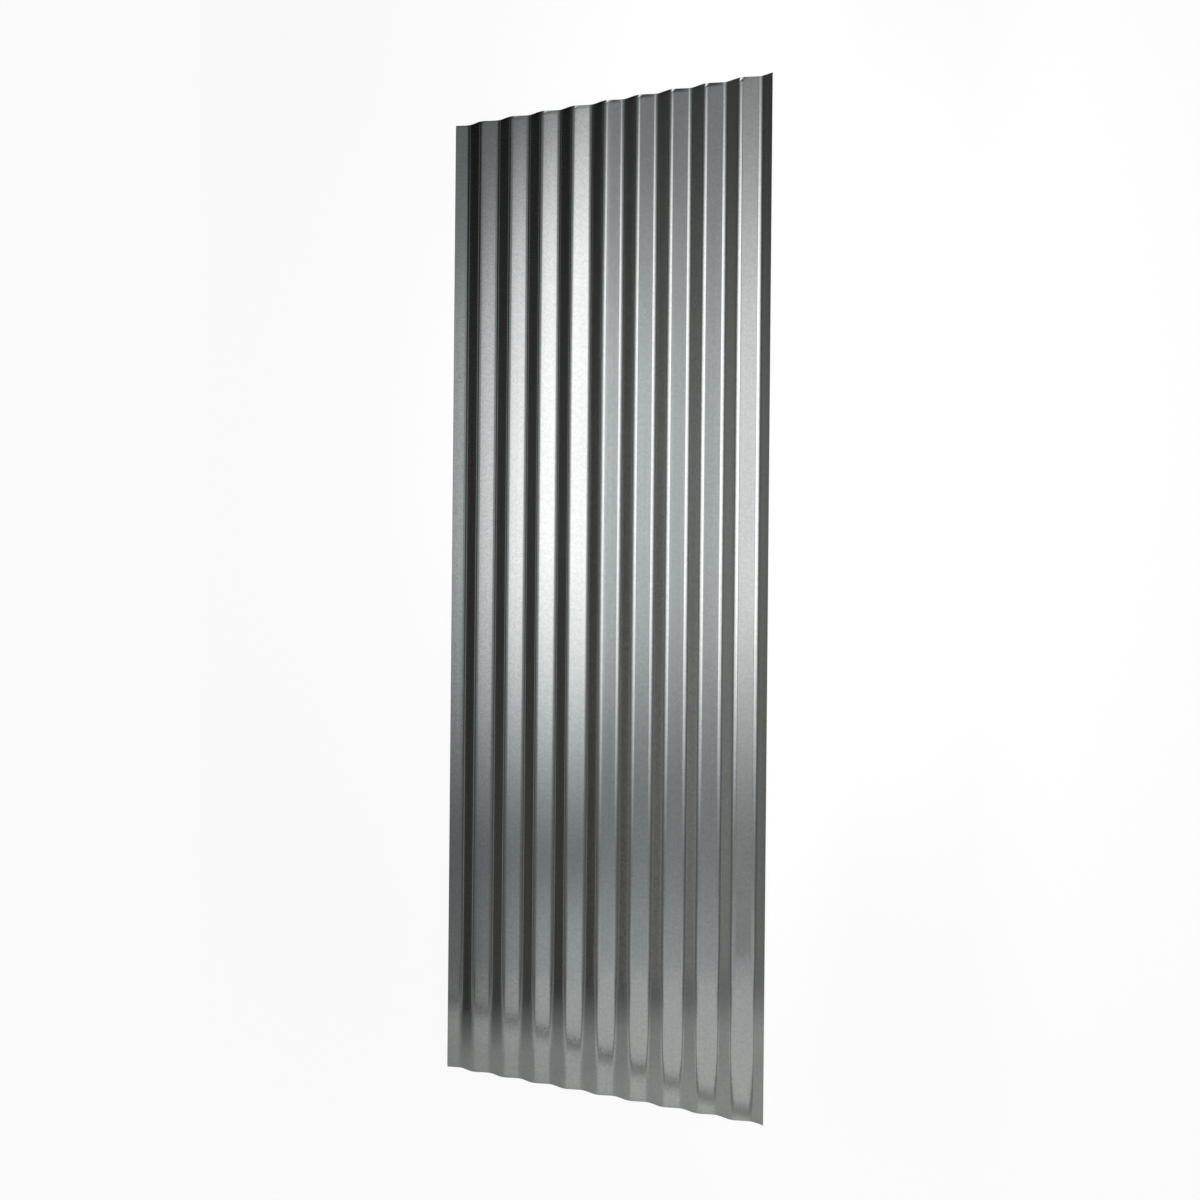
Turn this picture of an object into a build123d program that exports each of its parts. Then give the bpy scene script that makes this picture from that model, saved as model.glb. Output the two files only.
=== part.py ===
"""Corrugated galvanized roofing sheet, lying on its valleys, with its length along Y and its waves along X."""

import os
from math import asin, atan2, ceil, cos, hypot, tan

from build123d import *

# Driving dimensions, in millimetres
sheet_length = 1828.8  # six feet, a stock length
sheet_width = 660.4  # overall, from one slit edge to the other
wave_pitch = 67.73  # crest to crest
wave_depth = 11.1  # overall, from the underside of a valley to the top of a crest
bend_radius = 15.9  # of crests and valleys, at half the thickness
sheet_thickness = 0.44  # steel with its zinc coating

# Each bend turns the strip through twice the flank angle. The flank is tangent to a valley and to the next crest,
# and these lie half a pitch apart and the wave's mid-depth apart.
half_pitch = wave_pitch / 2
mid_depth = wave_depth - sheet_thickness
bend_rise = 2 * bend_radius - mid_depth
flank_angle = asin(2 * bend_radius / hypot(half_pitch, bend_rise)) - atan2(bend_rise, half_pitch)

# The flanks of neighbouring bends, carried on straight, meet in the corners of a zigzag.
corner_rise = half_pitch * tan(flank_angle) / 2
corner_shift = sheet_thickness / 2 / cos(flank_angle)
mid_height = wave_depth / 2

# The strip starts and ends a bend beyond the slit edges, and the middle of the sheet is a crest.
bends_each_side = ceil(sheet_width / wave_pitch) + 1
bend_numbers = range(-bends_each_side, bends_each_side + 1)


def face_line(side):
    """The line of the strip's upper face (side 1) or lower face (side -1): flanks joined by tangent bends."""
    corners = []
    radii = []
    for number in bend_numbers:
        crest = 1 if number % 2 == 0 else -1
        height = mid_height + crest * corner_rise + side * corner_shift
        corners.append((number * half_pitch, height))
        radii.append(bend_radius + crest * side * sheet_thickness / 2)
    return FilletPolyline(*corners, radius=radii[1:-1])


with BuildPart() as corrugated_sheet:
    with BuildSketch(Plane.XZ) as section:
        with BuildLine():
            lower_face = face_line(-1)
            upper_face = face_line(1)
            Line(lower_face @ 0, upper_face @ 0)
            Line(lower_face @ 1, upper_face @ 1)
        make_face()
        # Slit the strip to the sheet's width.
        with Locations((0, mid_height)):
            Rectangle(sheet_width, wave_depth + sheet_thickness, mode=Mode.INTERSECT)
    extrude(amount=sheet_length / 2, both=True)

corrugated_sheet.part.label = "corrugated_sheet"

os.makedirs("parts", exist_ok=True)
export_step(corrugated_sheet.part, "parts/corrugated_sheet.step")
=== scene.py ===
# %% [markdown]
# A corrugated roofing sheet is one strip of galvanized steel that rollers have bent into waves. The
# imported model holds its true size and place, so the script starts from it. Every piece made here sits in
# the same frame: metres, with the waves side by side along X, the sheet's length along Y, and the floor
# at Z = 0.

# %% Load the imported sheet
from math import asin, atan2, copysign, cos, degrees, hypot, radians, sin, tan

import bmesh
import bpy
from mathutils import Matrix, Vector, noise


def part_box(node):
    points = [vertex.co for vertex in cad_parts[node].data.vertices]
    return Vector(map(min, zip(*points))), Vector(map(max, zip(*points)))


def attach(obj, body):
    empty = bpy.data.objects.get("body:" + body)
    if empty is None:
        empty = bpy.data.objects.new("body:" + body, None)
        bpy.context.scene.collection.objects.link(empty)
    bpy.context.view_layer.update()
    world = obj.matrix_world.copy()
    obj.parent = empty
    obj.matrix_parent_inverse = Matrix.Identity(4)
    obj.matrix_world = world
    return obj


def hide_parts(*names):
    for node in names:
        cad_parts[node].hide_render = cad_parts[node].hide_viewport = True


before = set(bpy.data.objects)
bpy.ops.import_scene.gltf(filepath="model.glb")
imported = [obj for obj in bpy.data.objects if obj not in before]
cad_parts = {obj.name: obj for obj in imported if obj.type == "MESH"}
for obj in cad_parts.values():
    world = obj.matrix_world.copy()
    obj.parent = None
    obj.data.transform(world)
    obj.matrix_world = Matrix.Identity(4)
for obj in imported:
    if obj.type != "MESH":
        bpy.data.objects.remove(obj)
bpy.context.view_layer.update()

sheet_low, sheet_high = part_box("corrugated_sheet")
sheet_width = sheet_high.x - sheet_low.x
sheet_length = sheet_high.y - sheet_low.y
print(f"packed sheet: {sheet_width:.4f} m wide, {sheet_length:.4f} m long")

# %% [markdown]
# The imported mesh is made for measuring, and its bends have only a few facets. Bare metal shows every
# facet as a stripe, so the sheet is rolled again here, from the same sizes, with finely divided bends.
# Each bend is an arc of one radius, and straight flanks run from one arc to the next. The angle of a
# flank follows from the pitch, the depth and the radius.

# %% Sizes of the wave
wave_pitch = 0.06773
wave_depth = 0.0111
bend_radius = 0.0159
sheet_thickness = 0.00044

half_pitch = wave_pitch / 2
half_thickness = sheet_thickness / 2
bend_rise = 2 * bend_radius - (wave_depth - sheet_thickness)
flank_angle = asin(2 * bend_radius / hypot(half_pitch, bend_rise)) - atan2(bend_rise, half_pitch)
last_bend = int(sheet_width / 2 / half_pitch)
print(f"flanks slope {degrees(flank_angle):.2f} degrees, bends are numbered {-last_bend} to {last_bend}")

# %% [markdown]
# The section could be typed in as a long list of points. Spinning a vertex about the middle of each bend
# says the same thing in the way the rollers do it: run straight, turn, run straight, turn back. The line
# that is followed is the sheet's upper face, so crests are half a thickness wider than valleys.

# %% Roll the section, one bend after another
bend_steps = 14


def run_straight(bm, tip, x, z):
    """Draws the flank on from its tip to a new place in the section."""
    drawn = bmesh.ops.extrude_vert_indiv(bm, verts=[tip])
    tip = drawn["verts"][0]
    tip.co.x = x
    tip.co.z = z
    return tip


def turn_about(bm, tip, middle, angle):
    """Rolls the tip round the middle of a bend."""
    rolled = bmesh.ops.spin(bm, geom=[tip], cent=middle, axis=(0, 1, 0), angle=angle, steps=bend_steps)
    return next(item for item in rolled["geom_last"] if isinstance(item, bmesh.types.BMVert))


def roll_section(bm, y):
    """The upper face's line across the sheet, from its left side to its right side."""
    side_x = sheet_width / 2
    tip = None
    for number in range(-last_bend, last_bend + 1):
        crest = number % 2 == 0
        up = 1 if crest else -1
        radius = bend_radius + up * half_thickness
        middle = Vector((number * half_pitch, y, half_thickness + bend_radius))
        if crest:
            middle.z = wave_depth - half_thickness - bend_radius
        start_x = middle.x - radius * sin(flank_angle)
        start_z = middle.z + up * radius * cos(flank_angle)
        if tip is None:
            run = side_x + start_x
            tip = bm.verts.new((-side_x, y, start_z + run * tan(flank_angle)))
        tip = run_straight(bm, tip, start_x, start_z)
        tip = turn_about(bm, tip, middle, up * 2 * flank_angle)
    rest = side_x - tip.co.x
    run_straight(bm, tip, side_x, tip.co.z + rest * tan(flank_angle))


sheet_mesh = bmesh.new()
roll_section(sheet_mesh, -sheet_length / 2)
print(f"section: {len(sheet_mesh.verts)} points from side to side")

# %% [markdown]
# Drawing the section out along Y makes the sheet. It is cut across into short rows, and its flanks are
# split lengthwise, so that there are points enough to bend it a little later.

# %% Draw the section out to the sheet's length
row_count = 64
flank_cuts = 3

flanks = [edge for edge in sheet_mesh.edges if edge.calc_length() > bend_radius / 2]
bmesh.ops.subdivide_edges(sheet_mesh, edges=flanks, cuts=flank_cuts)
drawn = bmesh.ops.extrude_edge_only(sheet_mesh, edges=sheet_mesh.edges[:])
far_points = [item for item in drawn["geom"] if isinstance(item, bmesh.types.BMVert)]
bmesh.ops.translate(sheet_mesh, verts=far_points, vec=(0, sheet_length, 0))
lengthwise = [e for e in sheet_mesh.edges if abs(e.verts[0].co.y - e.verts[1].co.y) > sheet_length / 2]
bmesh.ops.subdivide_edges(sheet_mesh, edges=lengthwise, cuts=row_count - 1)
print(f"upper face: {len(sheet_mesh.faces)} faces")

# %% [markdown]
# A real sheet isn't perfectly even. The shear that cuts it to length pulls the ends of its crests and
# flanks down by a little, and these rolled-over ends catch the light. Between them the steel has slight
# waves of a few tenths of a millimetre. Both are worked into the mesh by moving its points, downwards
# only and most at the crests, so the sheet stays inside its box and its valleys keep touching the floor.

# %% Work in the sheared ends and the unevenness
end_length = 0.009
end_steps = 6
flank_drop = 0.0006
crest_drop = 0.0014
crest_share = 0.6
uneven_height = 0.00022
uneven_pitch_x = 0.21
uneven_pitch_y = 0.34

for end in (-1, 1):
    for step in range(end_steps):
        cut_y = end * (sheet_length / 2 - end_length * (step + 1) / end_steps)
        everything = sheet_mesh.verts[:] + sheet_mesh.edges[:] + sheet_mesh.faces[:]
        bmesh.ops.bisect_plane(sheet_mesh, geom=everything, plane_co=(0, cut_y, 0), plane_no=(0, 1, 0))
for vert in sheet_mesh.verts:
    height_share = (vert.co.z - sheet_thickness) / (wave_depth - sheet_thickness)
    flank_share = 4 * height_share * (1 - height_share)
    top_share = max(0, (height_share - crest_share) / (1 - crest_share))
    end_share = max(0, 1 + (abs(vert.co.y) - sheet_length / 2) / end_length)
    place = Vector((vert.co.x / uneven_pitch_x, vert.co.y / uneven_pitch_y, 0))
    vert.co.z += height_share * uneven_height * (noise.noise(place) - 1) / 2
    vert.co.z -= (flank_share * flank_drop + top_share**2 * crest_drop) * end_share**2
print(f"upper face with its sheared ends: {len(sheet_mesh.faces)} faces")

# %% [markdown]
# Solidify gives the sheet its thickness downwards and closes the rim. Flanks and bends are shaded smooth,
# and the rim keeps its sharp edges.

# %% Give the sheet its thickness
rim_angle = radians(40)

bmesh.ops.recalc_face_normals(sheet_mesh, faces=sheet_mesh.faces[:])
if sum(face.normal.z for face in sheet_mesh.faces) < 0:
    bmesh.ops.reverse_faces(sheet_mesh, faces=sheet_mesh.faces[:])
bmesh.ops.solidify(sheet_mesh, geom=sheet_mesh.faces[:], thickness=sheet_thickness)
bmesh.ops.recalc_face_normals(sheet_mesh, faces=sheet_mesh.faces[:])
side_x = sheet_width / 2
for vert in sheet_mesh.verts:
    over = abs(vert.co.x) - side_x
    if over > 0:
        vert.co.x = copysign(side_x, vert.co.x)
        vert.co.z -= over * tan(flank_angle)
lowest = min(vert.co.z for vert in sheet_mesh.verts)
bmesh.ops.translate(sheet_mesh, verts=sheet_mesh.verts[:], vec=(0, 0, -lowest))
open_edges = [edge for edge in sheet_mesh.edges if not edge.is_manifold]
rolled_data = bpy.data.meshes.new("rolled_sheet")
sheet_mesh.to_mesh(rolled_data)
triangles = sum(len(face.verts) - 2 for face in sheet_mesh.faces)
sheet_mesh.free()
rolled_data.shade_smooth()
rolled_data.set_sharp_from_angle(angle=rim_angle)
rolled_sheet = bpy.data.objects.new("rolled_sheet", rolled_data)
bpy.context.scene.collection.objects.link(rolled_sheet)
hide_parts("corrugated_sheet")
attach(rolled_sheet, "root")
print(f"rolled sheet: {triangles} triangles, {len(open_edges)} open edges")

# %% [markdown]
# Shader maths is easier to read as sums than as boxes and lines. A Wire holds one socket, Python's
# operators on it add Math nodes, and its node method adds any other node: settings first, then what goes
# into the sockets.


# %% A small class for shader maths
class Wire:
    """An output socket of a shader tree, or the tree itself where there is no socket yet."""

    def __init__(self, tree, socket=None):
        self.tree = tree
        self.socket = socket

    def node(self, kind, settings=None, inputs=None, output=0):
        """Adds a node and returns a wire from one of its outputs."""
        made = self.tree.nodes.new(kind)
        for name, value in (settings or {}).items():
            setattr(made, name, value)
        for key, value in (inputs or {}).items():
            if isinstance(value, Wire):
                self.tree.links.new(value.socket, made.inputs[key])
            else:
                made.inputs[key].default_value = value
        return Wire(self.tree, made.outputs[output] if made.outputs else None)

    def maths(self, operation, first, second):
        """Adds a Math node."""
        return self.node("ShaderNodeMath", {"operation": operation}, {0: first, 1: second})

    def __add__(self, other):
        return self.maths("ADD", self, other)

    def __radd__(self, other):
        return self.maths("ADD", other, self)

    def __sub__(self, other):
        return self.maths("SUBTRACT", self, other)

    def __rsub__(self, other):
        return self.maths("SUBTRACT", other, self)

    def __mul__(self, other):
        return self.maths("MULTIPLY", self, other)

    def __rmul__(self, other):
        return self.maths("MULTIPLY", other, self)

    def __abs__(self):
        return self.maths("ABSOLUTE", self, 0)

    def ramp(self, start, end):
        """0 below start and 1 above end, with a smooth rise between."""
        reach = {"Value": self, "From Min": start, "From Max": end}
        return self.node("ShaderNodeMapRange", {"interpolation_type": "SMOOTHSTEP"}, reach)


def new_material(name):
    """An empty material and a wire into its tree."""
    material = bpy.data.materials.new(name)
    material.use_nodes = True
    material.node_tree.nodes.clear()
    return material, Wire(material.node_tree)


print("shader maths ready")

# %% [markdown]
# Hot-dip zinc freezes on the steel as a mosaic of crystals, called spangle. On roofing sheet like this it
# is kept fine, a few millimetres across. Each crystal mirrors the light at its own slight tilt and with
# its own gloss, so the sheet looks grainy where a reflection fades. A Voronoi texture has just such
# cells. The rolls leave faint streaks along the sheet, the bath leaves soft clouds of tone, and the
# sheared rim is duller.

# %% Patterns of the galvanized finish
spangle_size = 0.0042
fine_spangle_size = 0.0016
cloud_width = 0.16
cloud_length = 0.32
cloud_detail = 3
streak_width = 0.0035
streak_length = 0.5
streak_detail = 2
rim_width = 0.0004
mid_grey = 0.5

zinc, tree = new_material("galvanized_zinc")
here = tree.node("ShaderNodeTexCoord", output="Object")
across = tree.node("ShaderNodeSeparateXYZ", inputs={0: here}, output="X")
along = tree.node("ShaderNodeSeparateXYZ", inputs={0: here}, output="Y")


def spangle(size):
    """A random colour for each crystal of about this size."""
    return tree.node("ShaderNodeTexVoronoi", inputs={"Vector": here, "Scale": 1 / size}, output="Color")


def part_of(colour, channel):
    """One channel of a random colour, as a number that is centred on zero."""
    return tree.node("ShaderNodeSeparateColor", inputs={0: colour}, output=channel) - mid_grey


def soft_noise(size_x, size_y, detail):
    """Soft noise that is centred on zero, with its own size along each axis of the sheet."""
    stretch = {"Vector": here, "Scale": (1 / size_x, 1 / size_y, 1 / size_x)}
    place = tree.node("ShaderNodeMapping", inputs=stretch)
    soft = {"Vector": place, "Scale": 1, "Detail": detail}
    return tree.node("ShaderNodeTexNoise", inputs=soft) - mid_grey


crystal = spangle(spangle_size)
fine_crystal = spangle(fine_spangle_size)
cloud = soft_noise(cloud_width, cloud_length, cloud_detail)
streak = soft_noise(streak_width, streak_length, streak_detail)
side_rim = abs(across).ramp(sheet_width / 2 - rim_width, sheet_width / 2)
end_rim = abs(along).ramp(sheet_length / 2 - rim_width, sheet_length / 2)
rim = tree.maths("MAXIMUM", side_rim, end_rim)
print(f"patterns: spangle of {spangle_size * 1000:.1f} and {fine_spangle_size * 1000:.1f} mm")

# %% [markdown]
# The patterns change three things a little: how light the zinc is, how glossy it is, and which way it
# leans. The lean does the most, because a mirror that is turned by one degree shows what lies two degrees
# further on.

# %% Colour, gloss and lean of the zinc
dark_zinc = (0.545, 0.565, 0.570, 1)
light_zinc = (0.665, 0.685, 0.685, 1)
rim_steel = (0.40, 0.395, 0.385, 1)
middle_tone = 0.5
crystal_tone = 0.4
cloud_tone = 0.9
streak_tone = 0.5
zinc_roughness = 0.13
gloss_change = 0.03
fine_gloss_change = 0.02
rim_roughness = 0.2
spangle_tilt = 0.005
fine_spangle_tilt = 0.012
MIX_FACTOR, MIX_A, MIX_B, MIX_RESULT = 0, 6, 7, 2


def mix_colours(tree, share, first, second):
    """The first colour where the share is 0, the second where it is 1, and a blend between."""
    inputs = {MIX_FACTOR: share, MIX_A: first, MIX_B: second}
    return tree.node("ShaderNodeMix", {"data_type": "RGBA"}, inputs, MIX_RESULT)


def tilt_by(normal, colour, amount):
    """Leans a normal over by a random colour that is centred on mid grey."""
    middle = (mid_grey, mid_grey, mid_grey)
    lean = tree.node("ShaderNodeVectorMath", {"operation": "SUBTRACT"}, {0: colour, 1: middle})
    lean = tree.node("ShaderNodeVectorMath", {"operation": "SCALE"}, {0: lean, "Scale": amount})
    return tree.node("ShaderNodeVectorMath", {"operation": "ADD"}, {0: normal, 1: lean})


grain = part_of(crystal, "Red") + part_of(fine_crystal, "Red")
tone = middle_tone + crystal_tone * grain + cloud_tone * cloud + streak_tone * streak
colour = mix_colours(tree, rim, mix_colours(tree, tone, dark_zinc, light_zinc), rim_steel)
roughness = zinc_roughness + gloss_change * (part_of(crystal, "Green") + cloud + streak)
roughness = roughness + fine_gloss_change * part_of(fine_crystal, "Green") + rim_roughness * rim

tilted = tree.node("ShaderNodeNewGeometry", output="Normal")
tilted = tilt_by(tilted, crystal, spangle_tilt)
tilted = tilt_by(tilted, fine_crystal, fine_spangle_tilt)
tilted = tree.node("ShaderNodeVectorMath", {"operation": "NORMALIZE"}, {0: tilted})

shader = tree.node(
    "ShaderNodeBsdfPrincipled",
    inputs={"Base Color": colour, "Metallic": 1.0, "Roughness": roughness, "Normal": tilted},
)
tree.node("ShaderNodeOutputMaterial", inputs={"Surface": shader})
rolled_data.materials.append(zinc)
print(f"galvanized finish: {len(zinc.node_tree.nodes)} nodes")

# %% [markdown]
# The floor is plain and pale. It glows a little to the camera and to mirrors, so that it reads as white,
# and the rest of its light is the studio's, so the sheet still leaves a soft shadow on it.

# %% The floor
floor_reach = 30
floor_glow = 0.84
floor_colour = (0.30, 0.30, 0.30, 1)
white = (1, 1, 1)


def add_panel(name, material, corner, first_side, second_side):
    """A flat piece of the studio, drawn out from one corner along two sides."""
    panel = bmesh.new()
    start = panel.verts.new(corner)
    line = bmesh.ops.extrude_vert_indiv(panel, verts=[start])
    bmesh.ops.translate(panel, verts=line["verts"], vec=first_side)
    area = bmesh.ops.extrude_edge_only(panel, edges=line["edges"])
    far_side = [item for item in area["geom"] if isinstance(item, bmesh.types.BMVert)]
    bmesh.ops.translate(panel, verts=far_side, vec=second_side)
    data = bpy.data.meshes.new(name)
    panel.to_mesh(data)
    panel.free()
    data.materials.append(material)
    made = bpy.data.objects.new(name, data)
    bpy.context.scene.collection.objects.link(made)
    return made


def light_of(tree, colour, level):
    """A colour at a level that may change from place to place."""
    return tree.node("ShaderNodeVectorMath", {"operation": "SCALE"}, {0: colour, "Scale": level})


pale_floor, tree = new_material("pale_floor")
seen = tree.node("ShaderNodeLightPath", output="Is Camera Ray")
seen = tree.maths("MAXIMUM", seen, tree.node("ShaderNodeLightPath", output="Is Glossy Ray"))
seen = tree.maths("MAXIMUM", seen, tree.node("ShaderNodeLightPath", output="Is Transmission Ray"))
matt = tree.node("ShaderNodeBsdfDiffuse", inputs={"Color": floor_colour})
glow = tree.node("ShaderNodeEmission", inputs={"Color": light_of(tree, white, floor_glow * seen)})
both = tree.node("ShaderNodeAddShader", inputs={0: matt, 1: glow})
tree.node("ShaderNodeOutputMaterial", inputs={"Surface": both})
floor_side = 2 * floor_reach
add_panel("floor", pale_floor, (-floor_reach, -floor_reach, 0), (floor_side, 0, 0), (0, floor_side, 0))
print("floor laid")

# %% [markdown]
# Bare metal has no look of its own: it shows what is around it. A photographer lights a sheet like this
# from above, and keeps one side of the room dark with a flag, so that the flanks come out light and dark
# in turn. Lamps would give an even glow. A panel with its own material can fade along its length and end
# sharply at one side, and that is what the bands of light on the sheet show. All panels are out of the
# picture.

# %% Helpers for the panels


def place_on(tree):
    """Wires for X, Y and Z on a piece, in metres."""
    here = tree.node("ShaderNodeTexCoord", output="Object")
    return [tree.node("ShaderNodeSeparateXYZ", inputs={0: here}, output=axis) for axis in "XYZ"]


def light_up(tree, colour, level):
    """Makes the material glow with this colour, at a level that may change over it."""
    glow = tree.node("ShaderNodeEmission", inputs={"Color": light_of(tree, colour, level)})
    tree.node("ShaderNodeOutputMaterial", inputs={"Surface": glow})


def overhead(name, material, height, reach_x, reach_y):
    """A level panel over the sheet, which the camera doesn't see."""
    corner = (reach_x[0], reach_y[0], height)
    width = reach_x[1] - reach_x[0]
    length = reach_y[1] - reach_y[0]
    made = add_panel(name, material, corner, (width, 0, 0), (0, length, 0))
    made.visible_camera = False


print("panel helpers ready")

# %% [markdown]
# The near softbox hangs low over the left half. It is brightest at its right side and falls off to the
# left in steps, so each light flank mirrors another tone. Far to the left it is nearly dark, which gives
# the dark bands their edges. It fades towards the head and the foot, and towards the head its light leans
# to the right.

# %% The near softbox's even light
softbox_height = 0.55
softbox_x = (-0.72, 0.105)
softbox_y = (-0.85, 1.90)
near_level = 0.088
far_level = 0.075
far_head = (0.2, 0.9)
far_head_share = 0.33
far_end = (-0.60, -0.48)
side_rise = (-0.60, -0.48)
side_level = 0.22
even_rise = (-0.30, 0.0)
even_level = 0.40
even_foot_share = 0.25
even_head_share = 0.28
even_fade_foot = (-0.66, 0.18)
even_fade_head = (0.45, 1.30)
lean_start = 0.287
lean_amount = 0.29

near_light, tree = new_material("near_light")
across, along, _ = place_on(tree)
past = tree.maths("MAXIMUM", along - lean_start, 0)
leaning = across - lean_amount * past * past
even = side_level * leaning.ramp(*side_rise) + even_level * leaning.ramp(*even_rise)
even = even * (even_foot_share + (1 - even_foot_share) * along.ramp(*even_fade_foot))
even = even * (1 - (1 - even_head_share) * along.ramp(*even_fade_head))
far = far_level * (1 - (1 - far_head_share) * along.ramp(*far_head))
even = even + far + (near_level - far) * across.ramp(*far_end)
print(f"even light over {softbox_x[1] - softbox_x[0]:.2f} m")

# %% [markdown]
# On top of that come a bright strip, a little fill at the foot, and a patch at the head end. The strip's
# light is plain, and where it fades towards the foot, the cooler even light is left. Only the sheared
# crests lean over far enough to mirror the patch, and it gives each of them a glint.

# %% The near softbox's strip, fill and glints
cool_light = (0.965, 1.0, 0.995, 1)
plain_light = (1.0, 0.975, 0.965, 1)
strip_rise = (-0.36, 0.02)
strip_level = 0.91
strip_fade_foot = (-0.60, 0.16)
strip_fade_head = (0.68, 1.60)
foot_fill = (-0.80, -0.54)
foot_fill_side = (-0.25, 0.15)
foot_fill_level = 0.02
foot_fill_right = 0.24
glint_left = (-0.22, -0.14)
glint_right = (0.05, 0.10)
glint_head = (1.20, 1.38)
glint_level = 1.3

strip = leaning.ramp(*strip_rise)
tint = mix_colours(tree, strip * along.ramp(*strip_fade_foot), cool_light, plain_light)
strip = strip_level * strip * along.ramp(*strip_fade_foot) * (1 - along.ramp(*strip_fade_head))
fill = (1 - along.ramp(*foot_fill)) * (foot_fill_level + foot_fill_right * across.ramp(*foot_fill_side))
glint = glint_level * across.ramp(*glint_left) * (1 - across.ramp(*glint_right)) * along.ramp(*glint_head)
light_up(tree, tint, even + strip + fill + glint)
overhead("near_softbox", near_light, softbox_height, softbox_x, softbox_y)
print(f"near softbox {softbox_height} m above the floor")

# %% [markdown]
# The high softbox covers the right half from further up. Its left part is bright, and only the bends of
# the right half turn towards that, which draws a white line along each of them. The flat flanks see its
# plain part. It has a patch for the glints too.

# %% The high softbox
high_height = 1.5
high_x = (-0.30, 1.50)
high_y = (-2.20, 2.40)
high_level = 0.27
bright_edge = (0.23, 0.31)
bright_level = 1.6
dim_edge = (0.355, 0.45)
dim_share = 0.64
far_side = (0.44, 0.64)
plain_level = 0.52
far_drop = 0.20
plain_fade_foot = (-0.60, 0.19)
plain_fade_head = (0.45, 1.38)
bright_fade_foot = (-0.66, 0.10)
bright_fade_head = (0.72, 1.68)
high_foot_fill = (-1.0, -0.65)
high_foot_level = 0.12
high_head_end = (1.42, 1.75)
high_head_share = 0.3
high_glint_head = (1.92, 2.08)
high_glint_level = 0.8

high_light, tree = new_material("high_light")
across, along, _ = place_on(tree)
plain = along.ramp(*plain_fade_foot) * (1 - along.ramp(*plain_fade_head))
bright = along.ramp(*bright_fade_foot) * (1 - along.ramp(*bright_fade_head))
left_part = 1 - across.ramp(*bright_edge)
plain = plain * (1 - left_part) * (dim_share + (1 - dim_share) * across.ramp(*dim_edge))
level = high_level + plain * (plain_level - far_drop * across.ramp(*far_side))
level = level + bright_level * bright * left_part + high_foot_level * (1 - along.ramp(*high_foot_fill))
level = level * (1 - (1 - high_head_share) * along.ramp(*high_head_end))
level = level + high_glint_level * left_part * along.ramp(*high_glint_head)
light_up(tree, mix_colours(tree, left_part, cool_light, plain_light), level)
overhead("high_softbox", high_light, high_height, high_x, high_y)
print(f"high softbox {high_height} m above the floor")

# %% [markdown]
# A small reflector, low over the right side, lifts the last flank.

# %% The side reflector
reflector_height = 0.30
reflector_x = (0.335, 0.60)
reflector_y = (-0.70, 1.30)
reflector_fade_foot = (-0.50, 0.09)
reflector_fade_head = (0.32, 1.15)
reflector_level = 0.30
reflector_middle = 0.75
reflector_colour = (0.985, 0.975, 0.965)

side_light, tree = new_material("side_light")
_, along, _ = place_on(tree)
middle = along.ramp(*reflector_fade_foot) * (1 - along.ramp(*reflector_fade_head))
light_up(tree, reflector_colour, reflector_level + reflector_middle * middle)
overhead("side_reflector", side_light, reflector_height, reflector_x, reflector_y)
print(f"side reflector {reflector_height} m above the floor")

# %% [markdown]
# The flag stands in for a dark cloth on the left: it is a panel that glows faintly, and the flanks that
# lean that way mirror it: those on the right of the sheet see it higher up than those on the left. So its
# painted glow gets lighter upwards, and darker again above what the flanks see. It fades towards the head,
# and a faint patch of brighter glow low down lifts the second and third dark bands near the foot. Only
# reflections see it, so it throws no shadow.

# %% The flag
flag_distance = 1.5
flag_height = 2.0
flag_reach = 2.5
flag_colour = (1.0, 1.0, 0.94)
flag_level = 0.024
flag_low = (0.33, 0.41)
flag_low_level = 0.014
flag_step = (0.56, 0.62)
flag_step_level = 0.075
flag_rise = (0.60, 0.84)
flag_rise_level = 0.12
flag_top = (0.83, 0.99)
flag_top_drop = 0.14
flag_foot_share = 1.2
flag_head = (0.2, 1.7)
flag_head_drop = 0.9
flag_patch_up = (0.335, 0.36)
flag_patch_top = (0.42, 0.48)
flag_patch_along = (-1.1, 0.1)
flag_patch_level = 0.026


def only_in_reflections(card):
    """Hides a card from the camera and from the floor."""
    card.visible_camera = False
    card.visible_diffuse = False
    card.visible_shadow = False


# Painted light: the flag is no lamp but glows faintly, lighter upwards, in place of a dark cloth.
dim_glowing_flag, tree = new_material("dim_glowing_flag")
_, along, up = place_on(tree)
level = flag_level + flag_low_level * up.ramp(*flag_low) + flag_step_level * up.ramp(*flag_step)
level = level + flag_rise_level * up.ramp(*flag_rise) - flag_top_drop * up.ramp(*flag_top)
level = level * (flag_foot_share - flag_head_drop * along.ramp(*flag_head))
patch = up.ramp(*flag_patch_up) * (1 - up.ramp(*flag_patch_top)) * (1 - along.ramp(*flag_patch_along))
light_up(tree, flag_colour, level + flag_patch_level * patch)
flag_corner = (-flag_distance, -flag_reach, 0)
flag = add_panel("flag", dim_glowing_flag, flag_corner, (0, 2 * flag_reach, 0), (0, 0, flag_height))
only_in_reflections(flag)
print(f"flag {flag_distance} m to the left")

# %% [markdown]
# The foot card does what a lit floor does for a sheet that stands upright: it shows in the last hand's
# breadth of each wave. It is no board but a panel that glows grey, painted light in place of a lit floor.
# Its glow gets lighter to the right, and a soft dark line slopes across it. Its left end glows lighter
# higher up, like the flag beside it.

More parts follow.
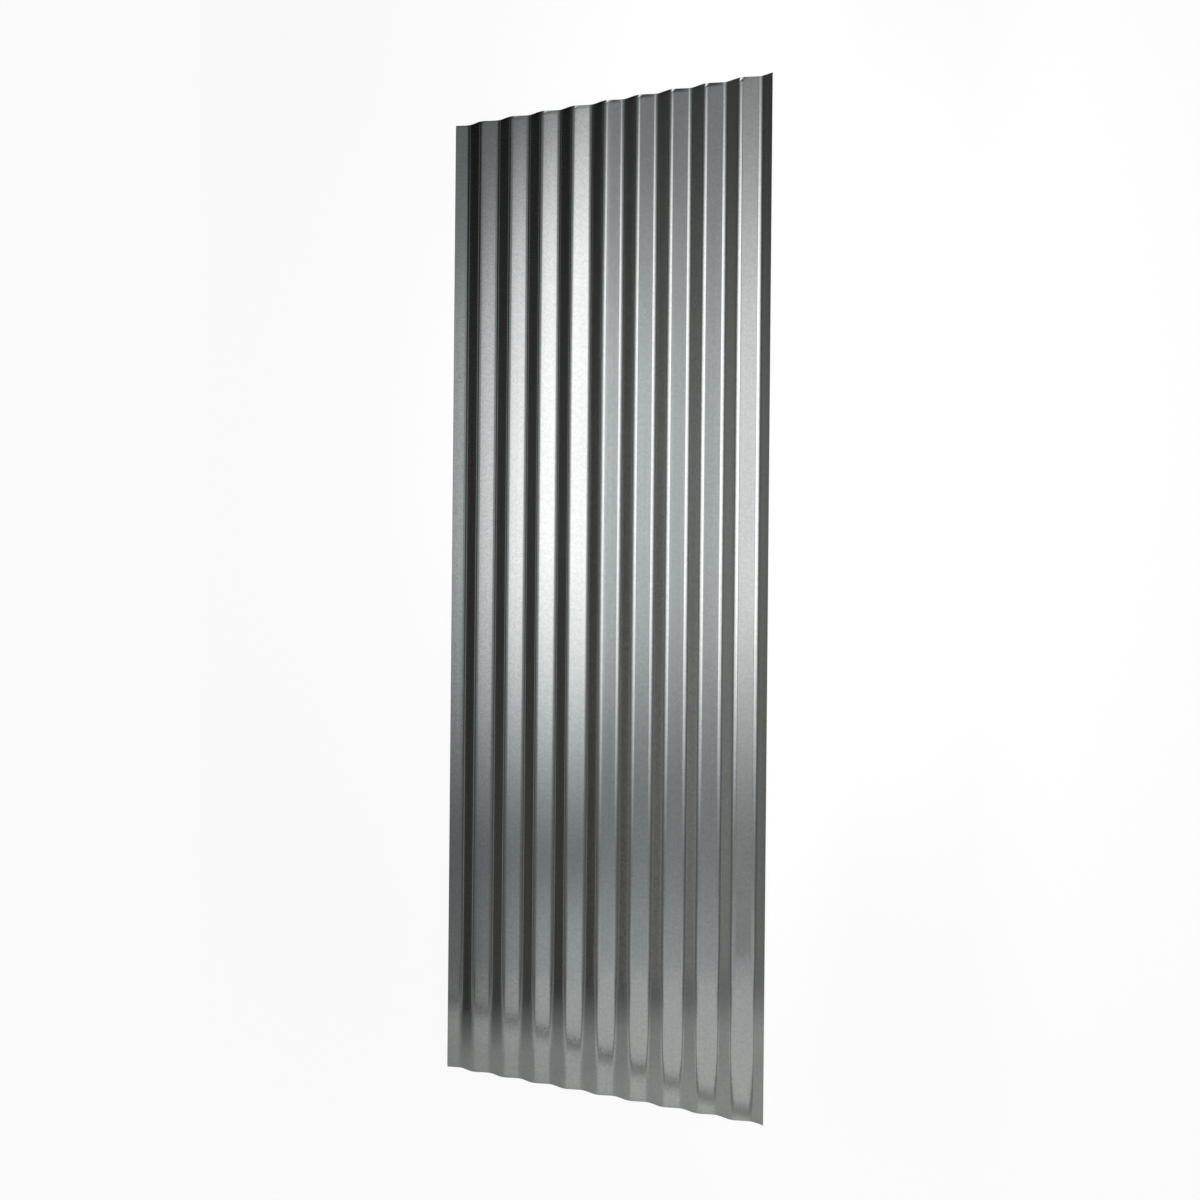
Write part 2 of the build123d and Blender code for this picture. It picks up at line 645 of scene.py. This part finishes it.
# %% Glow of the foot card
card_x = (-0.72, 0.80)
card_level = 0.07
card_rise = (-0.82, 0.10)
card_rise_level = 0.45
card_shade = 0.6
card_shade_up = (0.30, 0.85)
card_shade_side = (-0.25, 0.06)
card_low = (0.0, 0.05)
card_low_share = 0.9
card_end_up = (0.30, 0.43)
card_end_side = (-0.72, -0.35)
card_end_level = 0.11
dark_line_height = 0.34
dark_line_slope = 0.8
dark_line_width = (0.005, 0.085)
dark_line_depth = 0.45
dark_line_deepen = (0.12, 0.34)
dark_line_more_depth = 0.25

# Painted light: the card glows as a lit floor would, lighter to the right, with a soft dark line across
# it.
lit_floor_glow_card, tree = new_material("lit_floor_glow_card")
across, _, up = place_on(tree)
dark_line = 1 - abs(up + dark_line_slope * across - dark_line_height).ramp(*dark_line_width)
level = card_level + card_rise_level * across.ramp(*card_rise)
level = level * (1 - card_shade * up.ramp(*card_shade_up) * (1 - across.ramp(*card_shade_side)))
level = level * (1 - dark_line * (dark_line_depth + dark_line_more_depth * up.ramp(*dark_line_deepen)))
level = level * (card_low_share + (1 - card_low_share) * up.ramp(*card_low))
level = level + card_end_level * up.ramp(*card_end_up) * (1 - across.ramp(*card_end_side))
print(f"foot card with a seam {dark_line_height} m up at its middle")

# %% [markdown]
# Flanks that lean left and right look at the card from its two sides, and in the photograph they differ a
# little down to the very end. One flat board would look the same from both. So the card is folded into
# fine upright pleats, and the right-hand side of each pleat is darker low down.

# %% Fold the foot card into pleats
card_y = -0.925
card_height = 1.0
card_colour = (1.0, 1.0, 0.97)
pleat_width = 0.004
pleat_facing = (-0.1, 0.1)
pleat_shade = 0.32
pleat_shade_x = (-0.45, -0.15)
pleat_shade_up = (0.16, 0.34)


def pleat(panel):
    """Folds a standing panel into narrow upright pleats."""
    fold_width = pleat_width / 2
    board = bmesh.new()
    board.from_mesh(panel.data)
    left = min(vert.co.x for vert in board.verts)
    level_edges = [e for e in board.edges if abs(e.verts[0].co.x - e.verts[1].co.x) > pleat_width]
    folds = round(level_edges[0].calc_length() / fold_width)
    bmesh.ops.subdivide_edges(board, edges=level_edges, cuts=folds - 1)
    for vert in board.verts:
        column = round((vert.co.x - left) / fold_width)
        vert.co.y -= column % 2 * fold_width
    board.to_mesh(panel.data)
    board.free()
    return folds


facing = tree.node("ShaderNodeNewGeometry", output="True Normal")
facing_right = tree.node("ShaderNodeSeparateXYZ", inputs={0: facing}, output="X").ramp(*pleat_facing)
# Painted shade: the right-hand side of each pleat glows darker low down.
shaded = (1 - up.ramp(*pleat_shade_up)) * across.ramp(*pleat_shade_x)
light_up(tree, card_colour, level * (1 - pleat_shade * shaded * facing_right))
card_corner = (card_x[0], card_y, 0)
card_width = card_x[1] - card_x[0]
foot_card = add_panel("foot_card", lit_floor_glow_card, card_corner, (card_width, 0, 0), (0, 0, card_height))
fold_count = pleat(foot_card)
only_in_reflections(foot_card)
print(f"foot card {abs(card_y)} m below the middle, with {fold_count} folds")

# %% [markdown]
# The room around is a plain pale grey that is lightest at the horizon, so the floor runs into it without
# a line.

# %% The room
horizon_level = 0.96
room_level = 0.29
horizon_fade = (0.18, 0.50)

world = bpy.data.worlds.new("room")
bpy.context.scene.world = world
world.use_nodes = True
world.node_tree.nodes.clear()
world.cycles.sampling_method = "NONE"
tree = Wire(world.node_tree)
direction = tree.node("ShaderNodeTexCoord", output="Generated")
height = tree.node("ShaderNodeSeparateXYZ", inputs={0: direction}, output="Z")
level = horizon_level - (horizon_level - room_level) * height.ramp(*horizon_fade)
room = tree.node("ShaderNodeBackground", inputs={"Color": light_of(tree, white, level)})
tree.node("ShaderNodeOutputWorld", inputs={"Surface": room})
print("room lit")

# %% [markdown]
# A camera with no turn looks straight down with +Y at the top of its picture, as the photograph shows the
# sheet. It is swung about the sheet's length to the photograph's angle, which shows one side of each wave
# more than the other.

# %% The camera
view_angle = radians(28.59)
view_roll = radians(0.53)
view_distance = 2.801
view_target = Vector((-0.0035, -0.0047, 0.0055))
lens_length = 45.6
sensor_width = 36

camera_data = bpy.data.cameras.new("camera")
camera_data.lens = lens_length
camera_data.sensor_width = sensor_width
camera = bpy.data.objects.new("camera", camera_data)
camera.location = view_target + view_distance * Vector((sin(view_angle), 0, cos(view_angle)))
camera.rotation_mode = "ZYX"
camera.rotation_euler = (0, view_angle, view_roll)
bpy.context.scene.collection.objects.link(camera)
bpy.context.scene.camera = camera
bpy.context.scene.view_settings.view_transform = "Standard"
print(f"camera at {tuple(round(value, 3) for value in camera.location)}")
